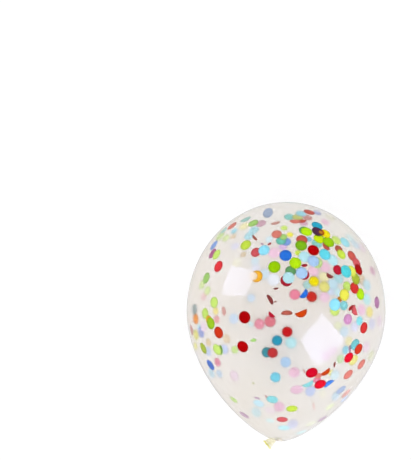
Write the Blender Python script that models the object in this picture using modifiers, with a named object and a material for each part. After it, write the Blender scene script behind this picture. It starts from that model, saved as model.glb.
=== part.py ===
"""Confetti balloon: a round latex balloon, blown up, tied off and lying on its side.

Units are metres, with +Z up. The balloon's long axis lies along Y, crown towards +Y and neck
towards -Y, with the neck end drooping. The origin is the centre of the small flat spot that the
balloon rests on. The balloon is one moulded piece of latex, from the crown to the rolled lip of
its mouth, and it is sealed, so it is one solid: body, neck, knot, tail and lip.
"""

import math

import bmesh
import bpy
from mathutils import Euler, Vector

# Body, measured when blown up: a 12 inch balloon filled a little short of its full size.
# Lengths run along the axis from the widest ring; the runs are how long the outline keeps
# straight on as it leaves the belly and as it comes to the tip, where the neck begins.
BODY_DIAMETER = 0.280
CROWN_LENGTH = 0.156
SHOULDER_LENGTH = 0.2040
BELLY_RUN = 0.093
TIP_RUN = 0.041
TIP_SPREAD = math.radians(76)

# Neck, gathered above the knot. Its root and the knot are folded over, to one side and under the
# tip: sway is to the side, drop is down, and reach is along the axis, out beyond the tip.
NECK_DIAMETER = 0.0070
NECK_SWAY = 0.0010
NECK_DROP = 0.0040
NECK_REACH = -0.0010
KNOT_SWAY = 0.0060
KNOT_DROP = 0.0095
KNOT_REACH = 0.0008

# Knot: two crossing turns of the rolled-up neck
WRAP_THICKNESS = 0.0034
WRAP_OPENING = 0.0014
WRAP_TILT = math.radians(20)
WRAP_SPACING = 0.0026

# Tail beyond the knot, pressed flat, and the rolled lip on its end
TAIL_LENGTH = 0.0170
TAIL_ROOT_DIAMETER = 0.0058
TAIL_SWING = math.radians(48)
TAIL_LIFT = math.radians(22)
LIP_WIDTH = 0.0160
LIP_BEAD = 0.0022
LIP_GAP = 0.0008

# How it lies: the axis's droop towards the neck, and how deep the resting spot is pressed in
DROOP = math.radians(12)
FLAT_DEPTH = 0.0020

# Facets
BODY_SIDES = 64
CROWN_RINGS = 15
SHOULDER_RINGS = 20
NECK_SIDES = 20
BALL_RINGS = 11
WRAP_SIDES = 24
WRAP_TUBE_SIDES = 10
TAIL_SIDES = 24
LIP_ARC_POINTS = 7
LIP_BEVEL_RESOLUTION = 2
MERGE_DISTANCE = 0.00001
SHARP_ANGLE = math.radians(45)
CUTTER_MARGIN = 0.050

BODY_RADIUS = BODY_DIAMETER / 2
NECK_RADIUS = NECK_DIAMETER / 2
WRAP_TUBE_RADIUS = WRAP_THICKNESS / 2
WRAP_RING_RADIUS = WRAP_OPENING / 2 + WRAP_TUBE_RADIUS

# Places and headings along the balloon's own axis: +Z to the crown, +Y down, -X to the tail's side
TIP = Vector((0, 0, -SHOULDER_LENGTH))
NECK_ROOT = TIP + Vector((-NECK_SWAY, NECK_DROP, -NECK_REACH))
KNOT = TIP + Vector((-KNOT_SWAY, KNOT_DROP, -KNOT_REACH))
TAIL_TURN = Euler((-TAIL_LIFT, math.pi + TAIL_SWING, 0), "ZYX")
NECK_HEADING = (KNOT - NECK_ROOT).normalized()
TAIL_HEADING = TAIL_TURN.to_matrix() @ Vector((0, 0, 1))
KNOT_HEADING = (NECK_HEADING + TAIL_HEADING).normalized()

LATEX_COLOUR = (0.92, 0.89, 0.86, 1.0)
LATEX_ROUGHNESS = 0.15
LATEX_ALPHA = 0.35


def clear_scene():
    """Removes whatever the scene holds."""
    for old in list(bpy.data.objects):
        bpy.data.objects.remove(old, do_unlink=True)


def make_collection(name):
    """A new collection of that name, in the scene."""
    collection = bpy.data.collections.new(name)
    bpy.context.scene.collection.children.link(collection)
    return collection


def bezier(points, share):
    """The point of a Bezier curve, of any number of control points, at a share of its run."""
    while len(points) > 1:
        points = [a.lerp(b, share) for a, b in zip(points, points[1:])]
    return points[0]


def body_outline():
    """Points (radius, height) down the outside of the body, from the crown to the tip."""
    points = []
    for ring in range(CROWN_RINGS):
        angle = ring / CROWN_RINGS * math.pi / 2
        points.append(Vector((BODY_RADIUS * math.sin(angle), CROWN_LENGTH * math.cos(angle))))
    tip = Vector((0, -SHOULDER_LENGTH))
    shoulder = [
        Vector((BODY_RADIUS, 0)),
        Vector((BODY_RADIUS, -BELLY_RUN)),
        tip + TIP_RUN * Vector((math.sin(TIP_SPREAD), math.cos(TIP_SPREAD))),
        tip,
    ]
    for ring in range(SHOULDER_RINGS + 1):
        points.append(bezier(shoulder, ring / SHOULDER_RINGS))
    return points


def resting_spot():
    """The resting spot's middle, along Y and up from the widest ring's centre: its underside runs
    level there, between the two places where that level crosses the outline."""
    underside = [
        Vector((height * math.cos(DROOP) + radius * math.sin(DROOP),
                height * math.sin(DROOP) - radius * math.cos(DROOP)))
        for radius, height in body_outline()
    ]
    level = min(point.y for point in underside) + FLAT_DEPTH
    crossings = [
        a.lerp(b, (level - a.y) / (b.y - a.y)).x
        for a, b in zip(underside, underside[1:])
        if (a.y > level) != (b.y > level)
    ]
    return (crossings[0] + crossings[-1]) / 2, level


def make_axis(collection):
    """The empty that carries the balloon: its Z runs up the balloon's axis, to the crown."""
    along, level = resting_spot()
    axis = bpy.data.objects.new("balloon_axis", None)
    collection.objects.link(axis)
    axis.rotation_euler = (DROOP - math.pi / 2, 0, 0)
    axis.location = (0, -along, -level)
    return axis


def make_material():
    """Clear latex, faintly milky."""
    latex = bpy.data.materials.new("latex")
    latex.use_nodes = True
    shader = latex.node_tree.nodes["Principled BSDF"]
    shader.inputs["Base Color"].default_value = LATEX_COLOUR
    shader.inputs["Roughness"].default_value = LATEX_ROUGHNESS
    shader.inputs["Metallic"].default_value = 0.0
    shader.inputs["Alpha"].default_value = LATEX_ALPHA
    return latex


def make_body(collection, axis, latex):
    """The turned body: a profile at +X, spun about the axis."""
    points = [(radius, 0, height) for radius, height in body_outline()]
    edges = [(i, i + 1) for i in range(len(points) - 1)]
    mesh = bpy.data.meshes.new("balloon")
    mesh.from_pydata(points, edges, [])
    mesh.materials.append(latex)
    balloon = bpy.data.objects.new("balloon", mesh)
    collection.objects.link(balloon)
    balloon.parent = axis
    spin = balloon.modifiers.new("spin", "SCREW")
    spin.axis = "Z"
    spin.steps = BODY_SIDES
    spin.render_steps = BODY_SIDES
    spin.use_merge_vertices = True
    spin.merge_threshold = MERGE_DISTANCE
    spin.use_smooth_shade = True
    return balloon


def make_tool(name, mesh, collection, axis=None):
    """A mesh that is joined to the balloon or cut from it, and isn't shown itself."""
    mesh.shade_smooth()
    mesh.set_sharp_from_angle(angle=SHARP_ANGLE)
    tool = bpy.data.objects.new(name, mesh)
    collection.objects.link(tool)
    tool.parent = axis
    tool.hide_render = True
    tool.display_type = "WIRE"
    return tool


def mesh_of(shape, name):
    """The finished mesh of a bmesh shape."""
    mesh = bpy.data.meshes.new(name)
    shape.to_mesh(mesh)
    shape.free()
    return mesh


def aim(tool, heading):
    """Turns a tool so that its own Z points along a heading."""
    tool.rotation_mode = "QUATERNION"
    tool.rotation_quaternion = heading.to_track_quat("Z", "Y")


def make_ball(name, radius, place, collection, axis):
    """A round lump."""
    shape = bmesh.new()
    bmesh.ops.create_uvsphere(shape, u_segments=NECK_SIDES, v_segments=BALL_RINGS, radius=radius)
    ball = make_tool(name, mesh_of(shape, name), collection, axis)
    ball.location = place
    return ball


def make_neck(collection, axis):
    """The gathered neck: a round elbow under the tip, and the straight run from there to the knot."""
    elbow = make_ball("neck_elbow", NECK_RADIUS, NECK_ROOT, collection, axis)
    shape = bmesh.new()
    bmesh.ops.create_cone(
        shape,
        cap_ends=True,
        segments=NECK_SIDES,
        radius1=NECK_RADIUS,
        radius2=WRAP_RING_RADIUS,
        depth=(KNOT - NECK_ROOT).length,
    )
    run = make_tool("neck_run", mesh_of(shape, "neck_run"), collection, axis)
    run.location = (NECK_ROOT + KNOT) / 2
    aim(run, NECK_HEADING)
    return [elbow, run]


def make_wraps(collection, axis):
    """The knot: two thick turns that lean against each other round its pulled-tight middle."""
    wraps = [make_ball("knot_middle", WRAP_RING_RADIUS, KNOT, collection, axis)]
    for number, side in enumerate((1, -1)):
        bpy.ops.mesh.primitive_torus_add(
            major_segments=WRAP_SIDES,
            minor_segments=WRAP_TUBE_SIDES,
            major_radius=WRAP_RING_RADIUS,
            minor_radius=WRAP_TUBE_RADIUS,
        )
        primitive = bpy.context.active_object
        wrap = make_tool(f"knot_wrap_{number + 1}", primitive.data, collection, axis)
        bpy.data.objects.remove(primitive)
        wrap.location = KNOT + KNOT_HEADING * side * WRAP_SPACING / 2
        lean = Euler((side * WRAP_TILT, 0, 0)).to_matrix()
        aim(wrap, lean @ KNOT_HEADING)
        wraps.append(wrap)
    return wraps


def place_on_tail(tool):
    """Sets a tool on the tail's own axis: from the knot, out to -X, with its flat side turned up."""
    tool.location = KNOT
    tool.rotation_mode = TAIL_TURN.order
    tool.rotation_euler = TAIL_TURN


def mouth_point(side, angle):
    """A point of the mouth's outline, a long loop with half-round ends, along the lip's middle."""
    end_radius = (LIP_BEAD + LIP_GAP) / 2
    half_run = LIP_WIDTH / 2 - LIP_BEAD / 2 - end_radius
    return side * half_run + end_radius * math.cos(angle), end_radius * math.sin(angle)


def make_tail(collection, axis):
    """The flattened tail: a cone whose wide end is pressed into the outline of the mouth."""
    length = TAIL_LENGTH - LIP_BEAD / 4
    shape = bmesh.new()
    bmesh.ops.create_cone(
        shape,
        cap_ends=True,
        segments=TAIL_SIDES,
        radius1=TAIL_ROOT_DIAMETER / 2,
        radius2=LIP_WIDTH / 2,
        depth=length,
    )
    for vertex in shape.verts:
        if vertex.co.z > 0:
            in_middle = abs(vertex.co.x) < MERGE_DISTANCE
            side = 0 if in_middle else math.copysign(1, vertex.co.x)
            angle = math.atan2(vertex.co.y, vertex.co.x)
            vertex.co.x, vertex.co.y = mouth_point(side, angle)
        vertex.co.z += length / 2
    tail = make_tool("tail", mesh_of(shape, "tail"), collection, axis)
    place_on_tail(tail)
    return tail


def lip_path():
    """The rolled lip's centre line."""
    path = []
    for side in (1, -1):
        for step in range(LIP_ARC_POINTS):
            angle = math.pi * (step / (LIP_ARC_POINTS - 1) - 0.5 * side)
            path.append((*mouth_point(side, angle), TAIL_LENGTH))
    return path


def make_lip(collection, axis):
    """The rolled bead round the mouth: a closed tube, made a mesh so that it can be joined."""
    path = lip_path()
    curve = bpy.data.curves.new("lip_tube", "CURVE")
    curve.dimensions = "3D"
    curve.bevel_depth = LIP_BEAD / 2
    curve.bevel_resolution = LIP_BEVEL_RESOLUTION
    spline = curve.splines.new("POLY")
    spline.points.add(len(path) - 1)
    for point, place in zip(spline.points, path):
        point.co = (*place, 1)
    spline.use_cyclic_u = True
    tube = bpy.data.objects.new("lip_tube", curve)
    collection.objects.link(tube)
    bpy.context.view_layer.update()
    evaluated = tube.evaluated_get(bpy.context.evaluated_depsgraph_get())
    shape = bmesh.new()
    shape.from_mesh(bpy.data.meshes.new_from_object(evaluated))
    bpy.data.objects.remove(tube)
    bmesh.ops.remove_doubles(shape, verts=shape.verts, dist=MERGE_DISTANCE)
    lip = make_tool("lip", mesh_of(shape, "lip"), collection, axis)
    place_on_tail(lip)
    return lip


def make_floor_cutter(collection):
    """A block whose top is the level of the surface: what it cuts away leaves the resting spot."""
    width = BODY_DIAMETER + CUTTER_MARGIN
    bpy.ops.mesh.primitive_cube_add(size=width)
    primitive = bpy.context.active_object
    cutter = make_tool("floor_cutter", primitive.data, collection)
    bpy.data.objects.remove(primitive)
    cutter.location = (0, 0, -width / 2)
    return cutter


def add_boolean(balloon, tool, operation):
    """Joins a tool to the balloon, or cuts it away."""
    modifier = balloon.modifiers.new(f"{operation.lower()} {tool.name}", "BOOLEAN")
    modifier.operation = operation
    modifier.solver = "EXACT"
    modifier.object = tool


def main():
    clear_scene()
    parts = make_collection("confetti_balloon")
    tools = make_collection("shaping_tools")
    axis = make_axis(parts)
    balloon = make_body(parts, axis, make_material())
    gathered = [*make_neck(tools, axis), *make_wraps(tools, axis)]
    for tool in [*gathered, make_tail(tools, axis), make_lip(tools, axis)]:
        add_boolean(balloon, tool, "UNION")
    add_boolean(balloon, make_floor_cutter(tools), "DIFFERENCE")


main()
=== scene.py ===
"""The looks of a clear confetti balloon that lies on its side on a white studio floor.

Everything is in metres, in the part's own frame: +Z up, +Y towards the crown, and the origin at the
middle of the flat spot that the balloon rests on. The latex skin, with its neck, knot, tail and
rolled lip, stands for the CAD node "balloon", and the paper discs inside it cling to its wall.
"""

import math
import random

import bmesh
import bpy
from mathutils import Euler, Matrix, Vector
from mathutils.bvhtree import BVHTree


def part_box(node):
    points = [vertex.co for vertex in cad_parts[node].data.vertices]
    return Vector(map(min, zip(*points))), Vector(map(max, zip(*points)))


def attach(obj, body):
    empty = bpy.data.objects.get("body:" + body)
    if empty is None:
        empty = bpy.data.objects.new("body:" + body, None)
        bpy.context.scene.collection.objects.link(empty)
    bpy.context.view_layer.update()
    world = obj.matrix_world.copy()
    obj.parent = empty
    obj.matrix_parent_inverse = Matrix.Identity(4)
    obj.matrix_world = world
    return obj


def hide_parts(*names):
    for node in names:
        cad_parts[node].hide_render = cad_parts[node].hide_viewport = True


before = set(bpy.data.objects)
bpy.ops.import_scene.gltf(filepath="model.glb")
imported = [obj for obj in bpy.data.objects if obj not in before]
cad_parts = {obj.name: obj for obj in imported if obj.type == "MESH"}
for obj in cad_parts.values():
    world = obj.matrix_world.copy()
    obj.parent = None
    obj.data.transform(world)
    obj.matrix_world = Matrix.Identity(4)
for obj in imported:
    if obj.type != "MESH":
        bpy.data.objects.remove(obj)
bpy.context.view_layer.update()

# The body's outline, as in the part's own source: lengths run along the axis from the widest ring
BODY_RADIUS = 0.140
CROWN_LENGTH = 0.156
SHOULDER_LENGTH = 0.204
BELLY_RUN = 0.093
TIP_RUN = 0.041
TIP_SPREAD = math.radians(76)
DROOP = math.radians(12)

# Neck, knot, tail and lip, also as in the part's source
NECK_OFFSET = Vector((-0.0010, 0.0040, 0.0010))
KNOT_OFFSET = Vector((-0.0060, 0.0095, -0.0008))
WRAP_TUBE_RADIUS = 0.0017
WRAP_RING_RADIUS = 0.0024
WRAP_TILT = math.radians(20)
WRAP_SPACING = 0.0026
TAIL_LENGTH = 0.0170
TAIL_ROOT_RADIUS = 0.0029
TAIL_TURN = Euler((-math.radians(22), math.pi + math.radians(48), 0), "ZYX")
LIP_WIDTH = 0.0160
LIP_BEAD = 0.0022
LIP_GAP = 0.0008

# Skin: how finely it is cut, the pleats that gather it into the neck, and its lift off the floor
SKIN_SIDES = 192
CROWN_RINGS = 48
SHOULDER_RINGS = 84
PLEATS = 17
PLEAT_SHARE = 0.035
PLEAT_REACH = 0.030
SKIN_LIFT = 0.0001

# Neck, knot, tail and lip: how finely they are cut, how they narrow and open, and their wrinkles
NECK_SIDES = 102
FLARE_RADII = (0.0056, 0.0051, 0.0046, 0.0042)
FLARE_LIFTS = (0.00005, 0.00035, 0.00070, 0.00110)
FLARE_CREST = 0.6
FLARE_END = 0.0040
NECK_STEPS = 14
NECK_LEAVE = (0.0010, 0.0018)
NECK_ARRIVE = 0.002
NECK_TAPER = 0.7
NECK_PLEAT_SHARE = 0.09
WRAP_STEPS = 72
WRAP_TUBE_STEPS = 28
WRAP_WRINKLE = 0.10
WRAP_CREASES = 5
WRAP_CREASE_TWIST = 2
TAIL_SIDES = 120
TAIL_STEPS = 30
TAIL_OPENING = 0.9
TAIL_SQUARENESS = 0.5
TAIL_MOUTH_SHARE = 0.8
TAIL_PLEATS = 13
TAIL_PLEAT_SHARE = 0.10
TAIL_PLEAT_FADE = 0.75
TAIL_PLEAT_TWIST = 3
LIP_STEPS = 120
LIP_TUBE_STEPS = 20
LIP_SQUARENESS = 0.6
LIP_WAVE = 0.00030
LIP_WAVES = 5
LIP_WRINKLE = 0.06
LIP_WRINKLES = 3
LIP_WRINKLE_TWIST = 2

# Blown-up latex: its clouds, its colours from 0 to 255 along them, how it blurs and bends light,
# the extra tint where it is seen aslant, and its gloss. Each relief is its strength and its depth.
FILM_CLOUDS = 7.0
FILM_COLOURS = ((0.30, (236, 230, 220)), (0.55, (240, 236, 230)), (0.75, (239, 238, 236)))
FILM_ROUGHNESS = 0.30
SKIN_IOR = 1.02
SLANT_TINT = (250, 249, 247)
SLANT_BLEND = 0.35
COAT_ROUGHNESS = 0.028
COAT_IOR = 1.15
COAT_RIPPLES = 26.0
COAT_RELIEF = (0.06, 0.002)

# Latex that isn't stretched: its wrinkles' dark and light places, and its half matt look. Then for
# the neck, the tail and the lip: the light colour, the dark colour and how fine the wrinkles are
WRINKLE_DETAIL = 6.0
WRINKLE_STOPS = (0.32, 0.62)
GATHERED_ROUGHNESS = 0.42
GATHERED_SPECULAR = 0.4
GATHERED_SUBSURFACE = 0.3
GATHERED_GLOW_DEPTHS = (0.002, 0.0015, 0.001)
GATHERED_RELIEF = (0.4, 0.0004)
NECK_LATEX = ((248, 244, 222), (238, 230, 198), 420.0)
TAIL_LATEX = ((223, 219, 184), (209, 203, 158), 300.0)
LIP_LATEX = ((222, 219, 124), (196, 191, 90), 380.0)

# The photograph's frame, and how the balloon sits in it
PHOTO_WIDTH = 411
PHOTO_HEIGHT = 460
SENSOR = 36.0
VIEW_DISTANCE = 1.6
VIEW_LEAN = math.radians(9.6)
VIEW_ROLL = math.radians(2.57)
FOCAL_PIXELS = 1123.0
BALLOON_PIXEL = (285.45, 311.2)

# Light: the corners of the two softboxes' reflections, as pixels of the photograph, then how far
# away and how strong they are, and the white light from all round as it falls and as it mirrors
UPPER_REFLECTION = ((229.5, 264.8), (253.0, 271.2), (248.0, 300.4), (224.5, 294.0))
LOWER_REFLECTION = ((321.3, 311.8), (340.6, 338.0), (321.0, 369.3), (301.7, 343.1))
SOFTBOX_DISTANCE = 1.5
UPPER_RADIANCE = 21.0
LOWER_RADIANCE = 26.0
SOFTBOX_COLOUR = (0.98, 1.03, 1.61)
WORLD_STRENGTH = 1.25
GLOSS_STRENGTH = 0.75

# Floor
FLOOR_SIZE = 12
FLOOR_GAP = 0.0003
FLOOR_ALBEDO = 0.55
FLOOR_GLOW = 0.37
FLOOR_ROUGHNESS = 0.9

# How bright the discs on the near and the far wall show for their dye, red, green and blue. This is
# painted light: each disc's dye is divided by it, so one paper is painted darker on the near wall
# than on the far. Then how much of that is lost on the near wall where it is seen edge-on, which is
# painted back in as a lighter dye
NEAR_LIGHT = (1.43, 1.32, 1.37)
FAR_LIGHT = (1.07, 1.03, 0.985)
SLANT_LOSS = 0.25

# Paper discs: their size, how they lie, and the painted shade that darkens each one from its
# middle to its rim.
# A fold's gap is in thicknesses of the paper, and a standing disc's curl is a share of its radius.
DISC_RADIUS = 0.0079
DISC_VARIATION = 0.03
DISC_THICKNESS = 0.00012
DISC_RINGS = 4
DISC_SIDES = 28
WALL_GAP = 0.00035
LAYER_STEP = 0.00030
STEP_INWARD = 0.0005
MOST_STEPS = 60
FOLD_GAP = 1.5
STANDING_CURL = 0.12
PAPER_SEED = 7
DYE_AND_SHADE = "dye_and_shade"
DYE_VARIATION = 0.06
DYE_LIMIT = 0.95
RING_SHADES = (1.05, 1.05, 1.03, 0.98, 0.76)

# Tissue paper: its mean shade, its fibres and its paler patches, each with its scale, its detail
# and the shade at two of its levels, and its relief
PAPER_SHADE = 0.89
PAPER_ROUGHNESS = 0.8
PAPER_RELIEF = (0.35, 0.0001)
FIBRES = (1100.0, 5.0)
FIBRE_SHADES = ((0.36, 0.84), (0.66, 1.0))
PATCHES = (160.0, 2.0)
PATCH_SHADES = ((0.35, 0.93), (0.65, 1.0))

# Papers: their material slot, and the colour that shows, red, green and blue from 0 to 255
PAPERS = {
    "red": ("paper_red", (178, 0, 2)),
    "dark_red": ("paper_red", (182, 28, 50)),
    "dark_brick": ("paper_red", (148, 66, 64)),
    "crimson": ("paper_red", (216, 4, 36)),
    "poppy": ("paper_red", (236, 58, 66)),
    "cherry": ("paper_red", (240, 10, 44)),
    "ruby": ("paper_red", (196, 28, 54)),
    "rose_red": ("paper_red", (221, 92, 98)),
    "scarlet": ("paper_red", (226, 54, 52)),
    "vermilion": ("paper_red", (212, 54, 24)),
    "dusty_red": ("paper_red", (198, 18, 24)),
    "dusty_scarlet": ("paper_red", (198, 46, 34)),
    "brown_red": ("paper_red", (194, 56, 56)),
    "brick": ("paper_red", (206, 88, 78)),
    "brown_brick": ("paper_red", (184, 92, 76)),
    "coral": ("paper_red", (228, 130, 116)),
    "salmon": ("paper_red", (230, 130, 118)),
    "pale_brick": ("paper_red", (208, 154, 146)),
    "mist_red": ("paper_red", (236, 204, 196)),
    "pale_red": ("paper_red", (232, 176, 168)),
    "orange": ("paper_orange", (210, 68, 8)),
    "rust": ("paper_orange", (192, 120, 36)),
    "peach": ("paper_orange", (239, 152, 66)),
    "amber": ("paper_orange", (248, 178, 46)),
    "tan": ("paper_orange", (236, 214, 172)),
    "pale_orange": ("paper_orange", (246, 222, 192)),
    "beige": ("paper_orange", (228, 210, 178)),
    "yellow": ("paper_yellow", (244, 226, 10)),
    "soft_yellow": ("paper_yellow", (244, 236, 84)),
    "dull_yellow": ("paper_yellow", (234, 228, 130)),
    "lemon": ("paper_yellow", (230, 234, 92)),
    "straw": ("paper_yellow", (248, 230, 150)),
    "pale_yellow": ("paper_yellow", (234, 220, 138)),
    "mist_yellow": ("paper_yellow", (243, 236, 184)),
    "cream": ("paper_yellow", (240, 236, 212)),
    "lime": ("paper_lime", (188, 234, 20)),
    "deep_lime": ("paper_lime", (158, 208, 4)),
    "yellow_lime": ("paper_lime", (210, 236, 14)),
    "soft_lime": ("paper_lime", (205, 228, 76)),
    "pale_lime": ("paper_lime", (210, 236, 120)),
    "mist_lime": ("paper_lime", (216, 230, 164)),
    "faint_lime": ("paper_lime", (237, 240, 202)),
    "green": ("paper_green", (132, 188, 26)),
    "leaf": ("paper_green", (166, 206, 38)),
    "olive": ("paper_green", (172, 186, 56)),
    "pale_olive": ("paper_green", (200, 202, 120)),
    "sage": ("paper_green", (106, 164, 104)),
    "soft_green": ("paper_green", (174, 214, 122)),
    "mist_green": ("paper_green", (208, 230, 184)),
    "pale_green": ("paper_green", (204, 226, 148)),
    "teal": ("paper_teal", (40, 168, 202)),
    "dusty_teal": ("paper_teal", (38, 148, 174)),
    "sea_green": ("paper_teal", (120, 202, 184)),
    "grey_teal": ("paper_teal", (56, 140, 150)),
    "soft_teal": ("paper_teal", (140, 206, 194)),
    "mist_teal": ("paper_teal", (176, 216, 210)),
    "pale_teal": ("paper_teal", (184, 226, 228)),
    "faint_teal": ("paper_teal", (214, 236, 234)),
    "sky": ("paper_sky", (102, 216, 232)),
    "aqua": ("paper_sky", (88, 218, 224)),
    "dull_aqua": ("paper_sky", (122, 202, 206)),
    "soft_aqua": ("paper_sky", (150, 230, 236)),
    "light_sky": ("paper_sky", (152, 230, 252)),
    "dusty_sky": ("paper_sky", (122, 208, 226)),
    "grey_sky": ("paper_sky", (132, 200, 220)),
    "soft_sky": ("paper_sky", (142, 210, 212)),
    "mist_sky": ("paper_sky", (163, 221, 231)),
    "haze_sky": ("paper_sky", (202, 232, 240)),
    "pale_sky": ("paper_sky", (194, 237, 243)),
    "mist_blue": ("paper_sky", (208, 227, 245)),
    "faint_sky": ("paper_sky", (214, 234, 240)),
    "blue": ("paper_blue", (44, 116, 218)),
    "deep_blue": ("paper_blue", (80, 116, 202)),
    "soft_blue": ("paper_blue", (135, 165, 226)),
    "bright_blue": ("paper_blue", (80, 140, 234)),
    "lilac": ("paper_lilac", (178, 210, 246)),
    "soft_lilac": ("paper_lilac", (162, 172, 212)),
    "grey": ("paper_lilac", (160, 172, 166)),
    "grey_lilac": ("paper_lilac", (174, 186, 214)),
    "pale_lilac": ("paper_lilac", (204, 216, 242)),
    "white_lilac": ("paper_lilac", (236, 235, 239)),
    "faint_lilac": ("paper_lilac", (224, 225, 240)),
    "rose": ("paper_pink", (236, 136, 158)),
    "dusty_rose": ("paper_pink", (220, 124, 134)),
    "soft_rose": ("paper_pink", (230, 152, 166)),
    "pink": ("paper_pink", (244, 202, 218)),
    "grey_pink": ("paper_pink", (228, 202, 208)),
    "faint_pink": ("paper_pink", (240, 220, 226)),
    "purple": ("paper_purple", (84, 42, 72)),
    "plum": ("paper_purple", (184, 122, 167)),
    "magenta": ("paper_purple", (180, 98, 144)),
    "mauve": ("paper_purple", (220, 152, 198)),
    "pale_mauve": ("paper_purple", (222, 180, 196)),
    "pale_violet": ("paper_purple", (216, 186, 222)),
    "dusty_mauve": ("paper_purple", (190, 156, 178)),
}

# Discs that cling to the near wall: paper, the pixel of the photograph at the middle, and the
# size where it isn't a whole disc's. Where they overlap, the first one lies against the wall.
NEAR_DISCS = (
    ("red", 244.4, 317.3, 1.07), ("red", 242.5, 346.8, 1.05), ("vermilion", 218.3, 332.6, 1.03),
    ("leaf", 210.4, 323.4, 1.02), ("amber", 208.6, 320.4, 0.85), ("pale_lime", 204.5, 313.6),
    ("pale_lime", 213.8, 302.4, 0.92), ("soft_green", 206.0, 277.9), ("poppy", 218.1, 266.3),
    ("pale_lime", 216.2, 254.3), ("magenta", 212.0, 253.2), ("soft_blue", 213.6, 245.0),
    ("salmon", 231.8, 225.6), ("soft_green", 253.1, 222.9, 0.9), ("pale_mauve", 260.9, 223.0, 0.9),
    ("soft_lime", 245.5, 244.8), ("light_sky", 263.9, 250.0), ("rose_red", 255.6, 252.0, 0.9),
    ("blue", 285.6, 255.2, 1.04), ("deep_lime", 274.3, 266.8, 1.04), ("coral", 276.6, 233.9, 0.88),
    ("soft_green", 283.4, 236.6, 0.62), ("sea_green", 281.0, 240.2, 0.85),
    ("soft_blue", 286.3, 241.2, 0.78), ("lime", 306.6, 231.3), ("sage", 304.6, 230.2),
    ("rust", 321.2, 232.2, 0.42), ("purple", 317.6, 231.0), ("orange", 320.6, 231.4, 0.75),
    ("teal", 317.5, 224.9), ("yellow", 325.6, 232.9), ("deep_lime", 329.2, 241.2, 1.06),
    ("yellow_lime", 319.6, 237.8), ("sky", 325.0, 254.2), ("pale_sky", 333.0, 259.8),
    ("green", 301.2, 245.3), ("brick", 302.0, 239.4, 0.95), ("red", 313.5, 250.0, 1.03),
    ("lime", 295.4, 262.8), ("lilac", 313.5, 260.9), ("pale_sky", 304.6, 256.4),
    ("pale_green", 317.0, 262.4), ("pale_sky", 288.6, 277.6), ("dark_red", 286.6, 280.2),
    ("sage", 290.6, 270.8, 0.9), ("lilac", 301.8, 272.6), ("dark_red", 304.4, 274.4, 0.86),
    ("aqua", 346.4, 271.3, 1.12), ("ruby", 338.0, 269.6, 0.86), ("lemon", 352.2, 271.0),
    ("red", 359.2, 269.4), ("rose_red", 357.4, 262.6), ("olive", 356.4, 278.6),
    ("scarlet", 355.3, 287.8), ("lime", 361.4, 294.0), ("brick", 352.8, 255.5),
    ("soft_lime", 341.6, 254.2, 0.88), ("brown_brick", 339.2, 249.0, 0.82), ("mist_sky", 345.3, 242.0),
    ("light_sky", 335.1, 304.6, 1.02), ("soft_yellow", 344.6, 294.8),
    ("pale_lime", 347.8, 286.2, 0.85), ("soft_sky", 344.3, 305.6, 0.82), ("rust", 339.8, 299.4, 0.48),
    ("mauve", 348.1, 319.4, 0.93), ("scarlet", 364.2, 327.9), ("soft_aqua", 359.7, 320.8, 0.78),
    ("plum", 377.3, 302.5), ("vermilion", 358.8, 349.2), ("dull_aqua", 355.5, 344.8),
    ("cherry", 349.0, 357.8), ("pale_yellow", 354.0, 360.5), ("crimson", 311.9, 373.0, 1.05),
    ("cherry", 320.3, 384.6, 1.07), ("salmon", 318.6, 376.2, 0.6), ("rose", 317.2, 380.4, 0.7),
    ("pink", 296.8, 390.0, 1.05), ("soft_lime", 292.0, 409.0), ("rose_red", 282.2, 419.8),
    ("pale_sky", 283.8, 428.2, 1.05), ("grey_lilac", 341.3, 390.2), ("pale_red", 346.2, 393.8, 1.05),
    ("salmon", 361.7, 364.5), ("salmon", 348.5, 374.8), ("brick", 309.4, 211.8),
    ("pale_orange", 253.4, 276.2, 0.66), ("amber", 256.6, 276.2), ("olive", 203.0, 348.4),
    ("pale_lime", 216.8, 349.7), ("deep_blue", 210.2, 365.2, 1.05), ("haze_sky", 258.6, 403.8, 1.0),
    ("faint_pink", 269.9, 410.8, 0.9), ("soft_sky", 272.2, 399.8, 1.0),
    ("faint_teal", 269.9, 421.0, 0.75), ("dusty_mauve", 244.0, 415.2),
    ("pale_green", 233.6, 400.0, 0.8), ("dusty_mauve", 322.6, 419.0, 0.95),
    ("cream", 311.0, 424.0, 1.0), ("faint_teal", 301.5, 432.6, 1.0),
    ("faint_lime", 330.0, 407.0, 0.9), ("pale_lilac", 344.5, 399.2, 0.9),
    ("white_lilac", 273.5, 279.5),
)

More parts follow.
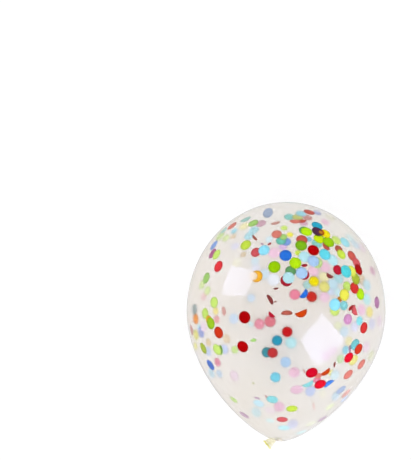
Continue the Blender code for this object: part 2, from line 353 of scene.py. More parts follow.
# Discs that cling to the far wall, likewise: the first one lies on top
FAR_DISCS = (
    ("dusty_red", 287.2, 331.8), ("dusty_scarlet", 311.8, 296.6), ("dusty_teal", 277.0, 340.6),
    ("brown_red", 272.6, 352.9), ("grey_teal", 266.8, 352.4), ("dusty_sky", 275.3, 377.4),
    ("lilac", 285.6, 362.2), ("pale_teal", 291.2, 342.8, 1.05), ("dusty_rose", 270.0, 321.4, 1.1),
    ("soft_rose", 259.3, 324.0), ("rose", 294.8, 294.6), ("yellow", 314.2, 281.2),
    ("dull_yellow", 324.8, 286.6, 1.05), ("mist_yellow", 324.0, 277.0), ("pink", 313.5, 271.0),
    ("pink", 325.3, 267.0), ("pink", 274.0, 252.5, 1.1), ("mist_teal", 307.0, 285.0, 0.75),
    ("haze_sky", 333.6, 284.0), ("haze_sky", 338.0, 292.0, 0.8), ("pale_lilac", 331.5, 291.0, 0.8),
    ("pale_teal", 339.0, 278.0), ("pale_lime", 335.0, 310.5), ("pink", 324.8, 297.2),
    ("haze_sky", 367.6, 285.0, 1.1), ("pale_sky", 367.3, 299.0, 1.05), ("pink", 361.8, 309.8),
    ("straw", 370.0, 312.0), ("faint_lilac", 354.8, 326.5), ("faint_sky", 344.5, 331.5),
    ("mist_yellow", 349.0, 341.2, 0.85), ("mist_sky", 345.6, 350.0, 0.8),
    ("mist_green", 340.6, 359.2, 0.85), ("soft_yellow", 290.0, 234.4, 0.62),
    ("pale_lime", 284.2, 227.8, 0.65),
    ("mist_yellow", 243.8, 226.0), ("pale_green", 219.5, 235.5), ("mist_lime", 225.5, 238.0, 0.8),
    ("mist_sky", 233.8, 230.8, 0.65), ("pale_teal", 253.6, 229.8), ("pale_teal", 249.0, 235.5),
    ("faint_sky", 254.8, 261.0, 0.8), ("faint_lilac", 255.5, 267.0, 0.8), ("faint_sky", 263.8, 274.0),
    ("mist_blue", 251.0, 298.0, 0.8), ("mist_blue", 233.5, 318.8, 0.95),
    ("faint_teal", 250.6, 324.4, 0.5), ("straw", 215.5, 311.0, 0.7), ("pale_red", 216.4, 319.5, 0.75),
    ("faint_pink", 202.8, 327.0, 0.9), ("beige", 226.3, 338.8, 0.85),
    ("grey", 193.6, 309.2), ("peach", 195.2, 318.8), ("soft_lilac", 200.6, 332.5),
    ("pale_teal", 199.0, 327.5, 0.6), ("dull_yellow", 195.3, 334.9), ("soft_yellow", 194.4, 346.3, 0.7),
    ("tan", 208.0, 342.5, 0.75), ("pale_lilac", 224.2, 349.4, 0.92),
    ("pale_lilac", 207.8, 351.5, 0.9), ("pale_green", 234.6, 349.8, 0.75),
    ("soft_rose", 217.3, 362.3, 0.85), ("mist_blue", 219.0, 374.0, 0.8), ("haze_sky", 210.6, 373.5),
    ("faint_pink", 234.0, 376.0, 1.05), ("pink", 279.2, 407.0), ("faint_teal", 256.0, 412.5),
    ("pink", 292.6, 373.0, 0.8), ("pink", 294.6, 372.5), ("pale_lilac", 310.6, 391.2),
    ("faint_sky", 335.2, 375.2), ("faint_sky", 336.0, 396.0), ("cream", 323.0, 394.5, 0.8),
    ("faint_lilac", 293.0, 424.5), ("faint_pink", 366.3, 347.0), ("faint_lime", 372.0, 356.0),
    ("grey_pink", 326.5, 356.2, 0.9), ("grey_pink", 333.6, 350.4, 0.75),
    ("pale_mauve", 373.0, 270.5, 0.9), ("beige", 362.5, 280.0),
    ("mist_sky", 301.2, 212.4), ("soft_lilac", 317.6, 212.4, 0.75), ("pale_brick", 307.5, 216.8, 0.9),
    ("pale_mauve", 303.6, 222.6, 0.8), ("pale_olive", 297.8, 216.9), ("soft_teal", 289.5, 216.5),
    ("pink", 325.5, 221.5, 0.85), ("cream", 331.0, 216.5), ("pale_lime", 336.6, 240.0),
    ("faint_sky", 356.0, 244.0), ("faint_teal", 350.6, 238.0), ("faint_pink", 363.0, 247.5),
    ("grey_sky", 308.6, 239.0, 0.6), ("soft_teal", 317.0, 243.2), ("soft_lime", 298.0, 252.6, 0.6),
    ("beige", 243.3, 254.4, 0.6), ("cream", 236.5, 262.5), ("faint_pink", 380.0, 321.0),
    ("faint_lilac", 372.5, 324.0), ("faint_lime", 338.3, 325.8, 0.8),
    ("pale_violet", 283.0, 246.5, 0.8), ("mist_lime", 201.5, 284.5, 0.9),
    ("mist_lime", 207.0, 290.5, 0.85), ("mist_red", 203.2, 296.4, 0.8),
    ("beige", 233.0, 236.0, 0.7), ("faint_lilac", 234.5, 246.0, 0.8),
    ("faint_sky", 268.8, 239.0, 0.7), ("straw", 331.0, 373.0, 0.6),
)

# Discs that stand off the near wall and show their edge: paper, pixel, the long way's heading in
# degrees anticlockwise from the picture's right, how wide they look for their length, and their size
STANDING_DISCS = (
    ("dark_brick", 269.8, 299.7, -60, 0.36, 0.90), ("brown_brick", 286.8, 313.4, 2, 0.42, 0.92),
    ("brown_brick", 254.9, 237.7, -47, 0.34, 0.60), ("brick", 326.3, 246.4, -50, 0.50, 0.80),
    ("pale_brick", 275.5, 222.8, 14, 0.28, 0.80), ("pale_brick", 191.4, 330.0, -78, 0.25, 0.90),
    ("dark_brick", 276.0, 288.3, 8, 0.35, 0.42), ("dark_brick", 334.8, 364.5, 80, 0.30, 0.50),
    ("brown_red", 351.4, 308.0, 48, 0.40, 0.65), ("pale_brick", 266.5, 397.5, -60, 0.28, 0.50),
    ("dark_red", 269.4, 243.8, 25, 0.50, 0.32), ("dusty_mauve", 262.2, 243.8, -20, 0.50, 0.28),
    ("pale_brick", 303.9, 371.2, -60, 0.30, 0.42), ("mist_red", 314.0, 406.0, 97, 0.33, 0.65),
    ("olive", 253.3, 383.3, -5, 0.45, 0.20), ("dusty_mauve", 350.2, 348.8, 85, 0.30, 0.65),
    ("soft_green", 220.6, 350.0, 98, 0.30, 0.90), ("dark_brick", 353.4, 277.6, 80, 0.50, 0.30),
    ("mist_teal", 245.5, 219.2, 24, 0.28, 0.95), ("mist_teal", 223.8, 230.2, 45, 0.26, 0.75),
    ("dark_red", 304.4, 265.2, 5, 0.50, 0.50), ("salmon", 295.2, 221.0, -2, 0.34, 0.95),
    ("brick", 301.6, 220.8, 4, 0.32, 0.80), ("grey_lilac", 267.8, 213.0, 50, 0.80, 0.96),
    ("pale_red", 223.5, 311.2, 98, 0.42, 0.80), ("soft_green", 253.5, 340.5, 8, 0.55, 0.50),
    ("dark_brick", 275.3, 301.9, 15, 0.40, 0.25), ("dusty_mauve", 257.0, 398.3, -18, 0.28, 0.50),
)

# Discs folded over on themselves, likewise: the crease's heading, the bulge to its right, how far
# the fold is closed in degrees, and their size
FOLDED_DISCS = (
    ("orange", 300.7, 311.2, 22, 176, 1.05), ("blue", 302.6, 292.8, 51, 174, 0.88),
    ("bright_blue", 330.0, 385.0, 221, 176, 1.0), ("soft_sky", 307.4, 383.2, 36, 176, 1.0),
    ("orange", 325.0, 371.6, 38, 150, 0.95), ("dark_brick", 330.4, 274.4, -25, 165, 0.68),
    ("ruby", 272.3, 313.8, -40, 168, 0.66), ("rose_red", 356.6, 309.8, -66, 168, 0.92),
)


def bezier(points, share):
    """The point of a Bezier curve, of any number of control points, at a share of its run."""
    while len(points) > 1:
        points = [a.lerp(b, share) for a, b in zip(points, points[1:])]
    return points[0]


def round_angles(count):
    """Angles evenly spaced round a full turn."""
    return [number / count * math.tau for number in range(count)]


def body_outline():
    """Points (radius, height) down the outside of the body, from the crown to the tip."""
    points = []
    for ring in range(CROWN_RINGS):
        angle = ring / CROWN_RINGS * math.pi / 2
        points.append(Vector((BODY_RADIUS * math.sin(angle), CROWN_LENGTH * math.cos(angle))))
    tip = Vector((0, -SHOULDER_LENGTH))
    shoulder = [
        Vector((BODY_RADIUS, 0)),
        Vector((BODY_RADIUS, -BELLY_RUN)),
        tip + TIP_RUN * Vector((math.sin(TIP_SPREAD), math.cos(TIP_SPREAD))),
        tip,
    ]
    for ring in range(SHOULDER_RINGS + 1):
        points.append(bezier(shoulder, ring / SHOULDER_RINGS))
    return points


def axis_placement():
    """The matrix from the balloon's own axis to the part's frame, fitted into the CAD node's box.

    Along its own axis, +Z is the crown, +Y is down and -X is the tail's side.
    """
    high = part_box("balloon")[1]
    up = max(height * math.sin(DROOP) + radius * math.cos(DROOP) for radius, height in OUTLINE)
    ahead = max(height * math.cos(DROOP) + radius * math.sin(DROOP) for radius, height in OUTLINE)
    turn = Euler((DROOP - math.pi / 2, 0, 0)).to_matrix().to_4x4()
    return Matrix.Translation((0, high.y - ahead, high.z - up)) @ turn


OUTLINE = body_outline()
AXIS = axis_placement()
CENTRE = AXIS @ Vector((0, 0, 0))
TIP = Vector((0, 0, -SHOULDER_LENGTH))
NECK_ROOT = TIP + NECK_OFFSET
KNOT = TIP + KNOT_OFFSET
NECK_HEADING = (KNOT - NECK_ROOT).normalized()
TAIL_HEADING = TAIL_TURN.to_matrix() @ Vector((0, 0, 1))
KNOT_HEADING = (NECK_HEADING + TAIL_HEADING).normalized()


def make_camera():
    """The camera at the photograph's angle: from above, leaning to the crown's side."""
    data = bpy.data.cameras.new("camera")
    data.sensor_width = SENSOR
    data.lens = SENSOR * FOCAL_PIXELS / max(PHOTO_WIDTH, PHOTO_HEIGHT)
    camera = bpy.data.objects.new("camera", data)
    bpy.context.scene.collection.objects.link(camera)
    back = Vector((0, math.sin(VIEW_LEAN), math.cos(VIEW_LEAN)))
    across = Vector((1, 0, 0))
    facing = Matrix((across, back.cross(across), back)).transposed()
    roll = Matrix.Rotation(VIEW_ROLL, 3, "Z")
    aside = Vector((0, 0, -1)).rotation_difference(seen_at(BALLOON_PIXEL)).to_matrix()
    turn = facing @ roll @ aside.inverted()
    camera.matrix_world = Matrix.Translation(CENTRE + back * VIEW_DISTANCE) @ turn.to_4x4()
    bpy.context.scene.camera = camera
    return camera


def seen_at(pixel):
    """The direction in which the camera sees a pixel of the photograph, in its own axes."""
    across = pixel[0] - PHOTO_WIDTH / 2
    up = PHOTO_HEIGHT / 2 - pixel[1]
    return Vector((across, up, -FOCAL_PIXELS)).normalized()


def sight_line(camera, pixel):
    """The camera's place, and the direction from it through a pixel of the photograph."""
    turn = camera.matrix_world.to_3x3()
    return camera.matrix_world.translation.copy(), turn @ seen_at(pixel)


def linear(red, green, blue):
    """A colour given as it shows on screen, 0 to 255, as the shader takes it: by the sRGB curve."""

    def channel(value):
        value /= 255
        return value / 12.92 if value <= 0.04045 else ((value + 0.055) / 1.055) ** 2.4

    return channel(red), channel(green), channel(blue), 1.0


def grey(shade):
    """A shade of grey as the shader takes it."""
    return shade, shade, shade, 1.0


def new_material(name):
    """A material, its node tree and its Principled shader."""
    material = bpy.data.materials.new(name)
    material.use_nodes = True
    return material, material.node_tree, material.node_tree.nodes["Principled BSDF"]


def clouds(tree, scale, detail=3.0):
    """The value of a noise texture that lies fixed on the piece."""
    place = tree.nodes.new("ShaderNodeTexCoord")
    texture = tree.nodes.new("ShaderNodeTexNoise")
    texture.inputs["Scale"].default_value = scale
    texture.inputs["Detail"].default_value = detail
    tree.links.new(place.outputs["Object"], texture.inputs["Vector"])
    return texture.outputs["Fac"]


def ramp(tree, value, stops):
    """A colour ramp over a value: stops are (position, colour)."""
    node = tree.nodes.new("ShaderNodeValToRGB")
    elements = node.color_ramp.elements
    while len(elements) < len(stops):
        elements.new(0.5)
    for element, (position, colour) in zip(elements, stops):
        element.position = position
        element.color = colour
    tree.links.new(value, node.inputs["Fac"])
    return node.outputs["Color"]


def relief(tree, height, socket, strength, distance):
    """Fine relief from a height, on a shader's normal socket."""
    bump = tree.nodes.new("ShaderNodeBump")
    bump.inputs["Strength"].default_value = strength
    bump.inputs["Distance"].default_value = distance
    tree.links.new(height, bump.inputs["Height"])
    tree.links.new(bump.outputs["Normal"], socket)


def multiplier(tree):
    """A node that multiplies two colours, A and B."""
    mix = tree.nodes.new("ShaderNodeMix")
    mix.data_type = "RGBA"
    mix.blend_type = "MULTIPLY"
    return mix


def latex_skin():
    """Blown-up latex: a clear glossy film, faintly cream, that softens what is far behind it."""
    material, tree, shader = new_material("latex_skin")
    stops = [(level, linear(*colour)) for level, colour in FILM_COLOURS]
    film = ramp(tree, clouds(tree, FILM_CLOUDS), stops)
    slant = tree.nodes.new("ShaderNodeLayerWeight")
    slant.inputs["Blend"].default_value = SLANT_BLEND
    longer = multiplier(tree)
    longer.inputs["B"].default_value = linear(*SLANT_TINT)
    tree.links.new(slant.outputs["Facing"], longer.inputs["Factor"])
    tree.links.new(film, longer.inputs["A"])
    tree.links.new(longer.outputs["Result"], shader.inputs["Base Color"])
    shader.inputs["Transmission Weight"].default_value = 1.0
    shader.inputs["Roughness"].default_value = FILM_ROUGHNESS
    shader.inputs["IOR"].default_value = SKIN_IOR
    side = tree.nodes.new("ShaderNodeNewGeometry")
    outer = tree.nodes.new("ShaderNodeMapRange")
    outer.inputs["To Min"].default_value = 1.0
    outer.inputs["To Max"].default_value = 0.0
    tree.links.new(side.outputs["Backfacing"], outer.inputs["Value"])
    tree.links.new(outer.outputs["Result"], shader.inputs["Coat Weight"])
    shader.inputs["Coat Roughness"].default_value = COAT_ROUGHNESS
    shader.inputs["Coat IOR"].default_value = COAT_IOR
    relief(tree, clouds(tree, COAT_RIPPLES), shader.inputs["Coat Normal"], *COAT_RELIEF)
    return material


def gathered_latex(name, light, dark, scale):
    """Latex that isn't stretched: cream, half matt, finely wrinkled and dusty."""
    material, tree, shader = new_material(name)
    wrinkles = clouds(tree, scale, WRINKLE_DETAIL)
    stops = list(zip(WRINKLE_STOPS, (linear(*dark), linear(*light))))
    tree.links.new(ramp(tree, wrinkles, stops), shader.inputs["Base Color"])
    shader.inputs["Roughness"].default_value = GATHERED_ROUGHNESS
    shader.inputs["Specular IOR Level"].default_value = GATHERED_SPECULAR
    shader.inputs["Subsurface Weight"].default_value = GATHERED_SUBSURFACE
    shader.inputs["Subsurface Radius"].default_value = GATHERED_GLOW_DEPTHS
    relief(tree, wrinkles, shader.inputs["Normal"], *GATHERED_RELIEF)
    return material


def multiplied(tree, first, second):
    """Two colours multiplied."""
    mix = multiplier(tree)
    mix.inputs["Factor"].default_value = 1.0
    tree.links.new(first, mix.inputs["A"])
    tree.links.new(second, mix.inputs["B"])
    return mix.outputs["Result"]


def paper(name):
    """Thin tissue paper in each disc's dye and painted shade, with its fibres and paler patches."""
    material, tree, shader = new_material(name)
    dye_and_shade = tree.nodes.new("ShaderNodeVertexColor")
    dye_and_shade.layer_name = DYE_AND_SHADE
    fibres = clouds(tree, *FIBRES)
    grain = ramp(tree, fibres, [(level, grey(shade)) for level, shade in FIBRE_SHADES])
    patches = ramp(tree, clouds(tree, *PATCHES), [(level, grey(shade)) for level, shade in PATCH_SHADES])
    shade = multiplied(tree, grain, patches)
    tree.links.new(multiplied(tree, dye_and_shade.outputs["Color"], shade), shader.inputs["Base Color"])
    shader.inputs["Roughness"].default_value = PAPER_ROUGHNESS
    shader.inputs["Specular IOR Level"].default_value = 0.0
    relief(tree, fibres, shader.inputs["Normal"], *PAPER_RELIEF)
    return material


def finish_piece(shape, name, material):
    """A bmesh shape as a finished piece that rides on the part's only body."""
    bmesh.ops.recalc_face_normals(shape, faces=shape.faces)
    mesh = bpy.data.meshes.new(name)
    shape.to_mesh(mesh)
    shape.free()
    mesh.shade_smooth()
    mesh.materials.append(material)
    piece = bpy.data.objects.new(name, mesh)
    bpy.context.scene.collection.objects.link(piece)
    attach(piece, "root")
    return piece


def pleated(radius, along, angle):
    """The radius with the pleats that fade out along the body, away from the neck."""
    fade = max(0.0, 1 - (along + SHOULDER_LENGTH) / PLEAT_REACH) ** 2
    return radius * (1 + PLEAT_SHARE * fade * math.cos(PLEATS * angle))


def make_skin():
    """The blown-up skin: the turned outline, flat where it rests and pleated round the neck."""
    shape = bmesh.new()
    rings = []
    for radius, height in OUTLINE[1:-1]:
        ring = []
        for angle in round_angles(SKIN_SIDES):
            reach = pleated(radius, height, angle)
            point = AXIS @ Vector((reach * math.cos(angle), reach * math.sin(angle), height))
            point.z = max(point.z, SKIN_LIFT)
            ring.append(shape.verts.new(point))
        rings.append(ring)
    crown = shape.verts.new(AXIS @ Vector((0, 0, CROWN_LENGTH)))
    tip = shape.verts.new(AXIS @ TIP)
    for side in range(SKIN_SIDES):
        after = (side + 1) % SKIN_SIDES
        shape.faces.new((crown, rings[0][side], rings[0][after]))
        shape.faces.new((tip, rings[-1][after], rings[-1][side]))
        for upper, lower in zip(rings, rings[1:]):
            shape.faces.new((upper[side], lower[side], lower[after], upper[after]))
    skin = finish_piece(shape, "balloon_skin", latex_skin())
    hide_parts("balloon")
    return skin


def join_rings(shape, rings, closed=False):
    """Joins rings of points, each to the next, with rows of faces."""
    pairs = list(zip(rings, rings[1:]))
    if closed:
        pairs.append((rings[-1], rings[0]))
    for first, second in pairs:
        for side in range(len(first)):
            after = (side + 1) % len(first)
            shape.faces.new((first[side], first[after], second[after], second[side]))


def height_at(radius):
    """How high along the axis the outline is where it comes down to a radius near the tip."""
    below = [(a, b) for a, b in zip(OUTLINE, OUTLINE[1:]) if a.x >= radius > b.x]
    a, b = below[-1]
    return a.lerp(b, (a.x - radius) / (a.x - b.x)).y


def add_neck_run(shape):
    """The gathered neck: it leaves the body in a pleated flare and folds over to the knot."""
    rings = []
    for radius, lift in zip(FLARE_RADII, FLARE_LIFTS):
        ring = []
        for angle in round_angles(NECK_SIDES):
            crest = 0.5 + 0.5 * math.cos(PLEATS * angle)
            place = Vector((radius * math.cos(angle), radius * math.sin(angle), 0))
            place += Vector((NECK_ROOT.x, NECK_ROOT.y, 0))
            place.z = height_at(place.length) - lift * (1 - FLARE_CREST + FLARE_CREST * crest)
            ring.append(shape.verts.new(AXIS @ place))
        rings.append(ring)
    start = Vector((0, 0, -1))
    route = [NECK_ROOT + start * distance for distance in NECK_LEAVE]
    route += [KNOT - NECK_HEADING * NECK_ARRIVE, KNOT]
    for step in range(1, NECK_STEPS + 1):
        share = step / NECK_STEPS
        middle = bezier(route, share)
        turn = start.rotation_difference(start.slerp(NECK_HEADING, share)).to_matrix()
        radius = FLARE_END + (WRAP_RING_RADIUS - FLARE_END) * share ** NECK_TAPER
        ring = []
        for angle in round_angles(NECK_SIDES):
            reach = radius * (1 + NECK_PLEAT_SHARE * math.cos(PLEATS * angle + share))
            place = Vector((reach * math.cos(angle), reach * math.sin(angle), 0))
            ring.append(shape.verts.new(AXIS @ (middle + turn @ place)))
        rings.append(ring)
    join_rings(shape, rings)
    shape.faces.new(rings[-1])
    shape.faces.new(rings[0][::-1])


def add_wrap(shape, side):
    """One turn of the knot: a thick ring of rolled-up latex, creased along its length."""
    middle = KNOT + KNOT_HEADING * side * WRAP_SPACING / 2
    lean = Euler((side * WRAP_TILT, 0, 0)).to_matrix()
    turn = (lean @ KNOT_HEADING).to_track_quat("Z", "Y").to_matrix()
    rings = []
    for round_angle in round_angles(WRAP_STEPS):
        outward = Vector((math.cos(round_angle), math.sin(round_angle), 0))
        ring = []
        for tube_angle in round_angles(WRAP_TUBE_STEPS):
            phase = WRAP_CREASES * tube_angle + WRAP_CREASE_TWIST * round_angle
            crease = 0.5 - 0.5 * math.cos(phase)
            reach = WRAP_TUBE_RADIUS * (1 - WRAP_WRINKLE * crease)
            place = outward * (WRAP_RING_RADIUS + reach * math.cos(tube_angle))
            place.z = reach * math.sin(tube_angle)
            ring.append(shape.verts.new(AXIS @ (middle + turn @ place)))
        rings.append(ring)
    join_rings(shape, rings, closed=True)


def make_neck():
    """The gathered neck and the knot that closes it."""
    shape = bmesh.new()
    add_neck_run(shape)
    add_wrap(shape, 1)
    add_wrap(shape, -1)
    latex = gathered_latex("latex_neck", *NECK_LATEX)
    neck = finish_piece(shape, "balloon_neck", latex)
    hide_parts("balloon")


def on_tail(x, y, z):
    """A point given on the tail's own axes: across, through and along it from the knot."""
    return AXIS @ (KNOT + TAIL_TURN.to_matrix() @ Vector((x, y, z)))


def signed_power(value, power):
    """A value's power, with its sign kept."""
    return math.copysign(abs(value) ** power, value)


def make_tail():
    """The tail beyond the knot: pleated at its root, and pressed flat towards its mouth."""
    mouth_width = LIP_WIDTH / 2 - LIP_BEAD / 2
    mouth_depth = (LIP_BEAD + LIP_GAP) / 2 * TAIL_MOUTH_SHARE
    mouth_height = TAIL_LENGTH - LIP_BEAD / 4
    shape = bmesh.new()
    rings = []
    for step in range(TAIL_STEPS + 1):
        share = step / TAIL_STEPS
        ring = []
        for angle in round_angles(TAIL_SIDES):
            round_place = Vector((math.cos(angle), math.sin(angle))) * TAIL_ROOT_RADIUS
            flat_place = Vector((math.cos(angle) * mouth_width,
                                 signed_power(math.sin(angle), TAIL_SQUARENESS) * mouth_depth))
            x, y = round_place.lerp(flat_place, share ** TAIL_OPENING)
            fade = 1 - share * TAIL_PLEAT_FADE
            phase = TAIL_PLEATS * angle + TAIL_PLEAT_TWIST * share
            pleat = 1 + TAIL_PLEAT_SHARE * fade * math.cos(phase)
            ring.append(shape.verts.new(on_tail(x * pleat, y * pleat, share * mouth_height)))
        rings.append(ring)
    join_rings(shape, rings)
    shape.faces.new(rings[-1])
    shape.faces.new(rings[0][::-1])
    latex = gathered_latex("latex_tail", *TAIL_LATEX)
    tail = finish_piece(shape, "balloon_tail", latex)
    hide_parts("balloon")


def make_lip():
    """The rolled bead round the mouth, a little wavy."""
    mouth_width = LIP_WIDTH / 2 - LIP_BEAD / 2
    mouth_depth = (LIP_BEAD + LIP_GAP) / 2
    shape = bmesh.new()
    rings = []
    for angle in round_angles(LIP_STEPS):
        outward = Vector((math.cos(angle), math.sin(angle)))
        middle = Vector((outward.x * mouth_width, signed_power(outward.y, LIP_SQUARENESS) * mouth_depth))
        wave = LIP_WAVE * math.cos(LIP_WAVES * angle)
        ring = []
        for tube_angle in round_angles(LIP_TUBE_STEPS):
            phase = LIP_WRINKLES * tube_angle + LIP_WRINKLE_TWIST * angle
            reach = LIP_BEAD / 2 * (1 - LIP_WRINKLE * math.cos(phase))
            x, y = middle + outward * reach * math.cos(tube_angle)
            z = TAIL_LENGTH + wave + reach * math.sin(tube_angle)
            ring.append(shape.verts.new(on_tail(x, y, z)))
        rings.append(ring)
    join_rings(shape, rings, closed=True)
    latex = gathered_latex("latex_lip", *LIP_LATEX)
    lip = finish_piece(shape, "balloon_lip", latex)
    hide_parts("balloon")


def disc_points():
    """A flat disc's points, across and along, as shares of its radius: the middle, then rings."""
    points = [(0.0, 0.0)]
    for ring in range(1, DISC_RINGS + 1):
        share = ring / DISC_RINGS
        for angle in round_angles(DISC_SIDES):
            points.append((share * math.cos(angle), share * math.sin(angle)))
    return points


def disc_faces(shape, dye_and_shade, outer, inner):
    """Joins two layers of a disc's points into a thin closed plate, with a painted shade at its rim."""
    layer_of_dye_and_shade = shape.verts.layers.float_color[DYE_AND_SHADE]
    for layer in (outer, inner):
        for number, point in enumerate(layer):
            ring = (number + DISC_SIDES - 1) // DISC_SIDES
            # Painted shade: each ring's dye is darkened towards the rim, less for pale papers
            shade = 1 + (RING_SHADES[ring] - 1) * (1 - min(dye_and_shade)) ** 2
            point[layer_of_dye_and_shade] = (*(channel * shade for channel in dye_and_shade), 1.0)

    def at(ring, side):
        return 1 + (ring - 1) * DISC_SIDES + side % DISC_SIDES

    for side in range(DISC_SIDES):
        for layer, order in ((outer, 1), (inner, -1)):
            middle = (0, at(1, side), at(1, side + 1))
            shape.faces.new([layer[i] for i in middle][::order])
            for ring in range(1, DISC_RINGS):
                corners = (at(ring, side), at(ring + 1, side),
                           at(ring + 1, side + 1), at(ring, side + 1))
                shape.faces.new([layer[i] for i in corners][::order])
        a = at(DISC_RINGS, side)
        b = at(DISC_RINGS, side + 1)
        shape.faces.new((outer[b], outer[a], inner[a], inner[b]))


def bent(sight, normal):
    """A line of sight as the film bends it on its way in."""
    slant = -sight.dot(normal)
    ratio = 1 / SKIN_IOR
    return sight * ratio + normal * (ratio * slant - math.sqrt(1 - ratio ** 2 * (1 - slant ** 2)))


class Wall:
    """The skin's inner face, and the discs that already lie on it."""

    def __init__(self, camera, skin):
        self.camera = camera
        self.tree = BVHTree.FromObject(skin, bpy.context.evaluated_depsgraph_get())
        self.taken = []

    def hit(self, pixel, far):
        """Where the line of sight through a pixel meets the wall: place, inward normal, sight."""
        start, sight = sight_line(self.camera, pixel)
        place, normal, _, _ = self.tree.ray_cast(start, sight)
        if far:
            sight = bent(sight, normal)
            place, normal, _, _ = self.tree.ray_cast(place + sight * STEP_INWARD, sight)
        return place, -normal, sight

    def inside(self, point, depth):
        """The point that lies at a depth inside the wall, nearest to a point."""
        nearest, normal, _, _ = self.tree.find_nearest(point)
        return nearest - normal * depth

    def depth(self, point):
        """How deep inside the wall a point is."""
        nearest, normal, _, _ = self.tree.find_nearest(point)
        return (nearest - point).dot(normal)

    def layer(self, place, radius):
        """The first free layer inward at a place, which is taken from now on."""
        below = [layer for other, reach, layer in self.taken
                 if (other - place).length < reach + radius]
        layer = max(below) + 1 if below else 0
        self.taken.append((place, radius, layer))
        return layer

    def long_way(self, heading, normal):
        """The direction on a plane that looks, from the camera, turned to a heading."""
        angle = math.radians(heading)
        turn = self.camera.matrix_world.to_3x3()
        seen = turn @ Vector((math.cos(angle), math.sin(angle), 0))
        return (seen - normal * seen.dot(normal)).normalized()


def add_clinging(shape, dye_and_shade, wall, pixel, far, radius, heading=0.0, fold=0.0):
    """A disc that lies on the wall, flat or folded over along a crease through its middle."""
    place, inward, _ = wall.hit(pixel, far)
    layer = wall.layer(place, radius)
    along = wall.long_way(heading, inward)
    across = along.cross(inward) * (1 if far else -1)
    depth = WALL_GAP + layer * LAYER_STEP
    outer = []
    inner = []
    for x, y in disc_points():
        rise = 0.0
        if fold and x < 0:
            rise = -x * radius * math.sin(math.radians(fold)) + DISC_THICKNESS * FOLD_GAP
            x *= math.cos(math.radians(fold))
        flat = place + (across * x + along * y) * radius
        outer.append(shape.verts.new(wall.inside(flat, depth + rise)))
        inner.append(shape.verts.new(wall.inside(flat, depth + rise + DISC_THICKNESS)))
    disc_faces(shape, dye_and_shade, outer, inner)


def add_standing(shape, dye_and_shade, wall, pixel, radius, heading, aspect):
    """A disc that stands off the near wall, turned so that it looks narrower than long."""
    place, _, sight = wall.hit(pixel, False)
    along = wall.long_way(heading, sight)
    sideways = along.cross(sight)
    lean = math.acos(aspect)
    trials = []
    for side in (1, -1):
        normal = sight * math.cos(lean) + sideways * side * math.sin(lean)
        across = along.cross(normal)
        middle = place.copy()
        rim = [(across * x + along * y) * radius for x, y in disc_points()[-DISC_SIDES:]]
        steps = 0
        while min(wall.depth(middle + point) for point in rim) < WALL_GAP and steps < MOST_STEPS:
            middle += sight * STEP_INWARD
            steps += 1
        trials.append((steps, normal, across, middle))
    _, normal, across, middle = min(trials, key=lambda trial: trial[0])
    outer = []
    inner = []
    for x, y in disc_points():
        curl = normal * STANDING_CURL * radius * x * x
        point = middle + (across * x + along * y) * radius + curl
        outer.append(shape.verts.new(point))
        inner.append(shape.verts.new(point + normal * DISC_THICKNESS))
    disc_faces(shape, dye_and_shade, outer, inner)


def make_confetti(camera, skin):
    """The paper discs, one piece for each material slot."""
    wall = Wall(camera, skin)
    chance = random.Random(PAPER_SEED)
    shapes = {}
    for slot, _ in PAPERS.values():
        if slot not in shapes:
            shapes[slot] = bmesh.new()
            shapes[slot].verts.layers.float_color.new(DYE_AND_SHADE)

    def size(share=1.0):
        return DISC_RADIUS * share * (1 + chance.uniform(-DISC_VARIATION, DISC_VARIATION))

    def shape_and_dye_and_shade(name, pixel, far):
        slot, shown = PAPERS[name]
        # Painted light: the dye is divided by how bright the disc's wall shows it, so one paper is
        # painted darker on the near wall than on the far
        light = FAR_LIGHT if far else NEAR_LIGHT
        strength = (1 + chance.uniform(-DYE_VARIATION, DYE_VARIATION)) / PAPER_SHADE
        # Painted light: a near disc seen edge-on gets a lighter dye, to make up for the light lost there
        if not far:
            _, inward, sight = wall.hit(pixel, far)
            strength /= 1 - SLANT_LOSS * (1 - inward.dot(sight))
        dye_and_shade = [min(DYE_LIMIT, channel / here * strength) for channel, here in zip(linear(*shown), light)]
        return shapes[slot], dye_and_shade

    for name, x, y, *share in NEAR_DISCS:
        add_clinging(*shape_and_dye_and_shade(name, (x, y), False), wall, (x, y), False, size(*share))
    for name, x, y, heading, fold, share in FOLDED_DISCS:
        add_clinging(*shape_and_dye_and_shade(name, (x, y), False), wall, (x, y), False, size(share),
                     heading, fold)
    for name, x, y, heading, aspect, share in STANDING_DISCS:
        add_standing(*shape_and_dye_and_shade(name, (x, y), False), wall, (x, y), size(share),
                     heading, aspect)
    wall.taken.clear()
    for name, x, y, *share in reversed(FAR_DISCS):
        add_clinging(*shape_and_dye_and_shade(name, (x, y), True), wall, (x, y), True, size(*share))
    for slot, shape in shapes.items():
        name = slot.removeprefix("paper_")
        finish_piece(shape, "confetti_" + name, paper("tissue_" + name))


def make_floor():
    """The white studio floor."""
    material, _, shader = new_material("floor")
    shader.inputs["Base Color"].default_value = grey(FLOOR_ALBEDO)
    shader.inputs["Emission Color"].default_value = grey(1.0)
    shader.inputs["Emission Strength"].default_value = FLOOR_GLOW
    shader.inputs["Roughness"].default_value = FLOOR_ROUGHNESS
    shader.inputs["Specular IOR Level"].default_value = 0.0
    bpy.ops.mesh.primitive_plane_add(size=FLOOR_SIZE)
    floor = bpy.context.active_object
    floor.name = "floor"
    floor.location.z = -FLOOR_GAP
    floor.visible_glossy = False
    floor.data.materials.append(material)


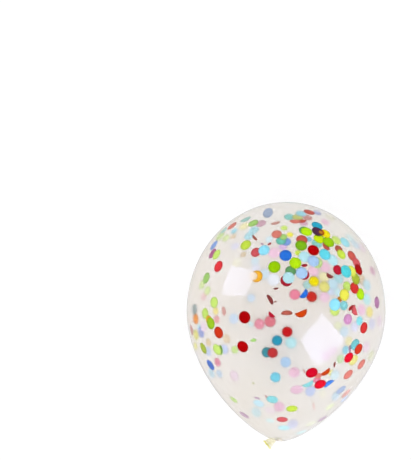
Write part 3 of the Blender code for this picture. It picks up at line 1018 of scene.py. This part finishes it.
def make_softbox(name, camera, skin, corners, radiance):
    """A rectangular softbox whose reflection in the latex has its corners at four pixels."""
    wall = Wall(camera, skin)
    places = []
    for pixel in corners:
        place, inward, sight = wall.hit(pixel, False)
        places.append(place + sight.reflect(inward) * SOFTBOX_DISTANCE)
    middle = sum(places, Vector()) / len(places)
    across = (places[1] + places[2] - places[0] - places[3]) / 2
    down = (places[2] + places[3] - places[0] - places[1]) / 2
    data = bpy.data.lights.new(name, "AREA")
    data.shape = "RECTANGLE"
    data.size = across.length
    data.size_y = down.length
    data.color = SOFTBOX_COLOUR
    data.energy = radiance * across.length * down.length * math.pi
    light = bpy.data.objects.new(name, data)
    bpy.context.scene.collection.objects.link(light)
    back = (middle - CENTRE).normalized()
    right = (across - back * across.dot(back)).normalized()
    turn = Matrix((right, back.cross(right), back)).transposed()
    light.matrix_world = Matrix.Translation(middle) @ turn.to_4x4()
    light.visible_diffuse = False
    light.visible_camera = False
    light.visible_transmission = False


def make_light(camera, skin):
    """White light from all round, and two softboxes that show in the latex alone."""
    world = bpy.data.worlds.new("studio")
    bpy.context.scene.world = world
    world.use_nodes = True
    nodes = world.node_tree.nodes
    links = world.node_tree.links
    nodes["Background"].inputs["Color"].default_value = grey(1.0)
    rays = nodes.new("ShaderNodeLightPath")
    mirrored = nodes.new("ShaderNodeMath")
    mirrored.operation = "MULTIPLY"
    strength = nodes.new("ShaderNodeMapRange")
    strength.inputs["To Min"].default_value = WORLD_STRENGTH
    strength.inputs["To Max"].default_value = GLOSS_STRENGTH
    links.new(rays.outputs["Is Glossy Ray"], mirrored.inputs[0])
    links.new(rays.outputs["Is Reflection Ray"], mirrored.inputs[1])
    links.new(mirrored.outputs["Value"], strength.inputs["Value"])
    links.new(strength.outputs["Result"], nodes["Background"].inputs["Strength"])
    make_softbox("softbox_upper", camera, skin, UPPER_REFLECTION, UPPER_RADIANCE)
    make_softbox("softbox_lower", camera, skin, LOWER_REFLECTION, LOWER_RADIANCE)
    bpy.context.scene.view_settings.view_transform = "Standard"


camera = make_camera()
skin = make_skin()
make_neck()
make_tail()
make_lip()
make_confetti(camera, skin)
make_floor()
make_light(camera, skin)
